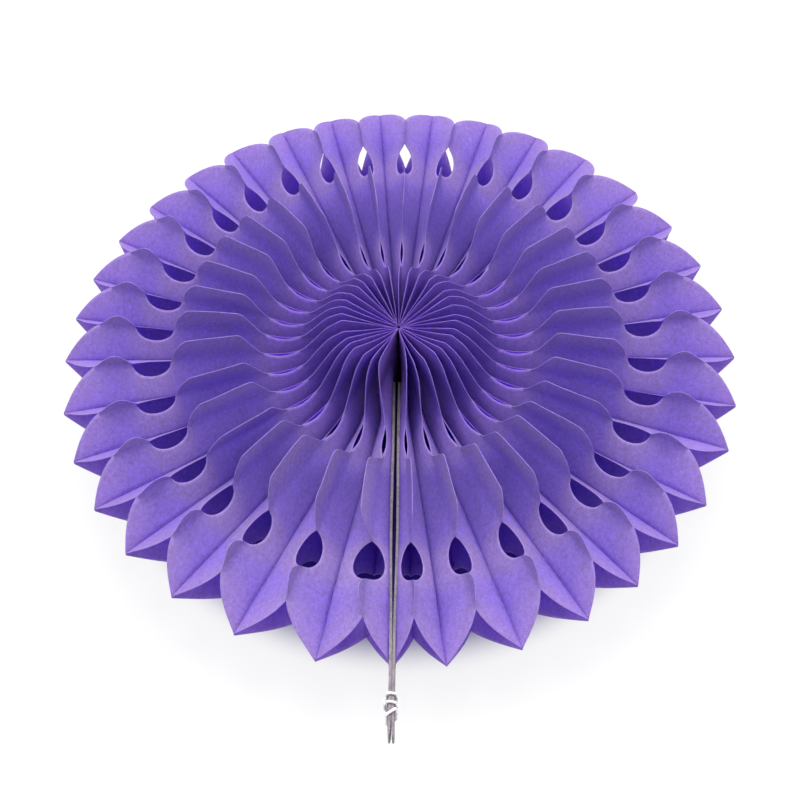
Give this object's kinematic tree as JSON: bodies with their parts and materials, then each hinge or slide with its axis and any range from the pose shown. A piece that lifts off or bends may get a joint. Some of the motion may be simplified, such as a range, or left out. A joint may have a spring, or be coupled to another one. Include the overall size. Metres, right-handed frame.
{
  "type": "paper fan rosette",
  "caption": "Purple tissue paper fan opened into a full round rosette of 35 die-cut leaf pairs, its two grey end boards tied with white thread.",
  "frame": {"origin": "on the hub axis, in the plane that the fan's back lies on", "axes": "+Z along the hub axis towards the front; -Y towards the tied boards, which lie 2.2 degrees off it"},
  "size_m": [0.3013, 0.3308, 0.0654],
  "materials": {
    "tissue": "matte",
    "board": "matte",
    "thread": "matte"
  },
  "bodies": {
    "root": {"leaf_pair_01": "tissue", "leaf_pair_02": "tissue", "leaf_pair_03": "tissue", "leaf_pair_04": "tissue", "leaf_pair_05": "tissue", "leaf_pair_06": "tissue", "leaf_pair_07": "tissue", "leaf_pair_08": "tissue", "leaf_pair_09": "tissue", "leaf_pair_10": "tissue", "leaf_pair_11": "tissue", "leaf_pair_12": "tissue", "leaf_pair_13": "tissue", "leaf_pair_14": "tissue", "leaf_pair_15": "tissue", "leaf_pair_16": "tissue", "leaf_pair_17": "tissue", "leaf_pair_18": "tissue", "leaf_pair_19": "tissue", "leaf_pair_20": "tissue", "leaf_pair_21": "tissue", "leaf_pair_22": "tissue", "leaf_pair_23": "tissue", "leaf_pair_24": "tissue", "leaf_pair_25": "tissue", "leaf_pair_26": "tissue", "leaf_pair_27": "tissue", "leaf_pair_28": "tissue", "leaf_pair_29": "tissue", "leaf_pair_30": "tissue", "leaf_pair_31": "tissue", "leaf_pair_32": "tissue", "leaf_pair_33": "tissue", "leaf_pair_34": "tissue", "leaf_pair_35": "tissue", "end_board_left": "board", "end_board_right": "board", "tie_thread": "thread"}
  },
  "joints": []
}
